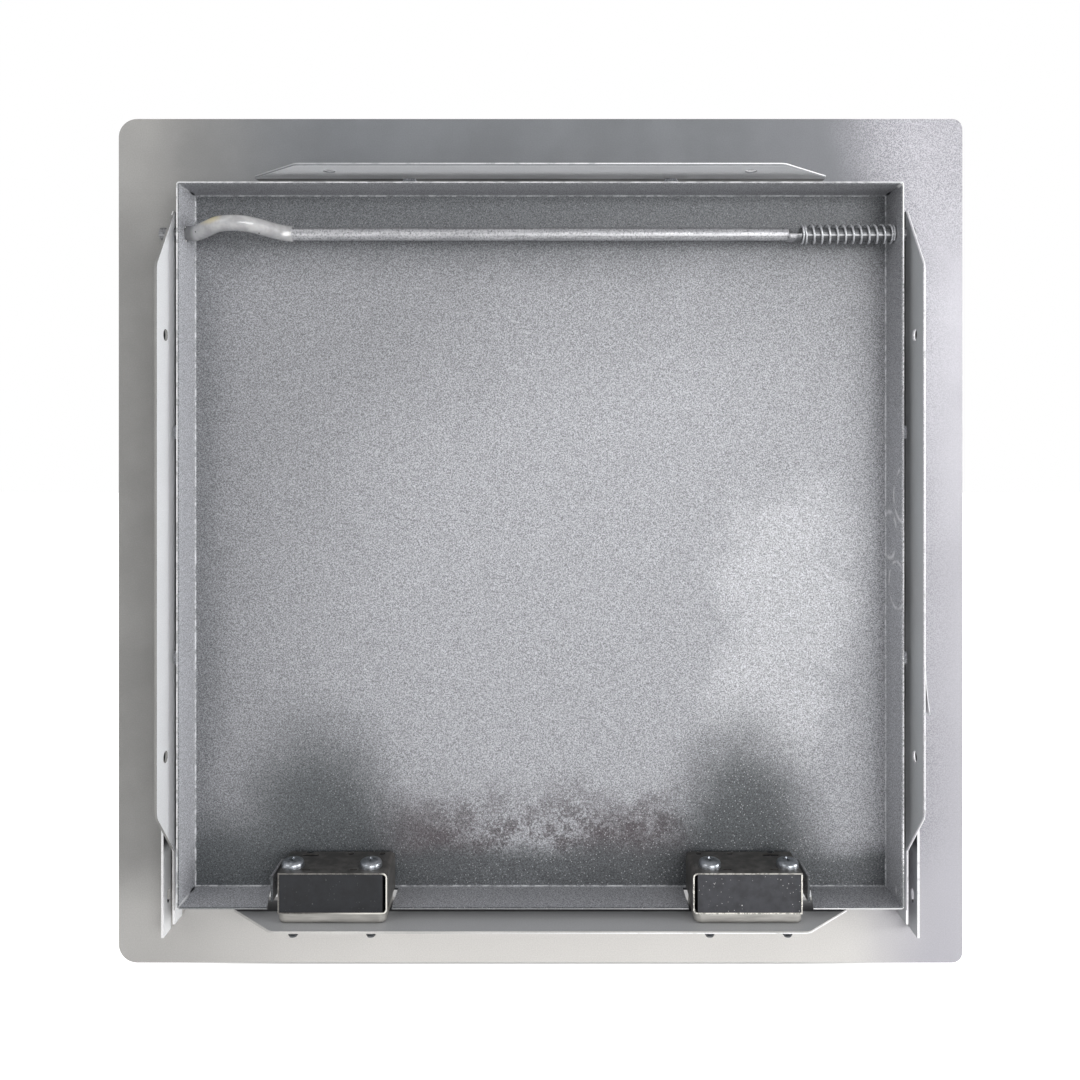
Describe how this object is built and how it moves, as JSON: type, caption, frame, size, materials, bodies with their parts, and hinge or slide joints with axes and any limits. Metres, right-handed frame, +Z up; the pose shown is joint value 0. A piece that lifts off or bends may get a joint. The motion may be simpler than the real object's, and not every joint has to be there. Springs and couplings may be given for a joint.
{
  "type": "steel access panel",
  "caption": "Recessed square steel access panel: flanged wall frame, lift-out door pan hung on a sprung hinge rod, touch latches at the bottom edge.",
  "frame": {"origin": "centre of the panel on the back face of the flange, where the frame meets the wall", "axes": "+X to the right as seen from behind, +Y out of the wall towards the room, +Z up with the hinge rod at the top"},
  "size_m": [0.37, 0.0325, 0.37],
  "materials": {
    "frame_steel": "grey primer on zinc-coated steel",
    "door_steel": "fine-grained grey primer on zinc-coated steel",
    "rod_steel": "zinc-plated",
    "grip_vinyl": "pale vinyl",
    "spring_wire": "bright zinc",
    "latch_nickel": "satin nickel plate",
    "latch_black": "moulded black",
    "jaw_steel": "plated",
    "plunger_nylon": "natural nylon",
    "screw_steel": "blue-grey zinc plate",
    "label_film": "blank white film"
  },
  "bodies": {
    "frame": {"frame_plate": "frame_steel", "left_side_channel": "frame_steel", "right_side_channel": "frame_steel", "left_latch_base": "latch_nickel", "right_latch_base": "latch_nickel", "left_latch_case": "latch_nickel", "right_latch_case": "latch_nickel", "left_latch_core": "latch_black", "right_latch_core": "latch_black", "left_jaw_pin": "jaw_steel", "right_jaw_pin": "jaw_steel", "left_jaw_spring": "spring_wire", "right_jaw_spring": "spring_wire", "left_plunger_spring": "spring_wire", "right_plunger_spring": "spring_wire", "left_latch_screws": "screw_steel", "right_latch_screws": "screw_steel", "flap_label": "label_film"},
    "door": {"door_pan": "door_steel", "left_strike": "door_steel", "right_strike": "door_steel", "return_spring": "spring_wire"},
    "rod": {"hinge_rod": "rod_steel", "grip_sleeve": "grip_vinyl"},
    "left_plunger": {"left_latch_plunger": "plunger_nylon"},
    "right_plunger": {"right_latch_plunger": "plunger_nylon"},
    "left_jaw": {"left_latch_jaw": "jaw_steel"},
    "right_jaw": {"right_latch_jaw": "jaw_steel"}
  },
  "joints": [
    {"name": "door_hinge", "type": "hinge", "parent": "frame", "child": "door", "pos_m": [0, -0.01, 0.1325], "axis": [1, 0, 0], "range_deg": [0, 120]},
    {"name": "rod_slide", "type": "slide", "parent": "door", "child": "rod", "axis": [1, 0, 0], "range_m": [0, 0.01], "stiffness_N_per_m": 1600, "springref_m": -0.006, "deforming": ["return_spring"]},
    {"name": "left_latch_push", "type": "slide", "parent": "frame", "child": "left_plunger", "axis": [0, -1, 0], "range_m": [0, 0.0025], "stiffness_N_per_m": 300, "springref_m": -0.004, "deforming": ["left_plunger_spring"]},
    {"name": "right_latch_push", "type": "slide", "parent": "frame", "child": "right_plunger", "axis": [0, -1, 0], "range_m": [0, 0.0025], "stiffness_N_per_m": 300, "springref_m": -0.004, "deforming": ["right_plunger_spring"]},
    {"name": "left_jaw_turn", "type": "hinge", "parent": "frame", "child": "left_jaw", "pos_m": [-0.0904, -0.0136, -0.1438], "axis": [0, 0, 1], "range_deg": [0, 25], "deforming": ["left_jaw_spring"]},
    {"name": "right_jaw_turn", "type": "hinge", "parent": "frame", "child": "right_jaw", "pos_m": [0.0904, -0.0136, -0.1438], "axis": [0, 0, -1], "range_deg": [0, 25], "deforming": ["right_jaw_spring"]}
  ],
  "couplings": [
    {"joint": "left_jaw_turn", "follows": "left_latch_push", "rad_per_m": 170},
    {"joint": "right_jaw_turn", "follows": "right_latch_push", "rad_per_m": 170}
  ]
}
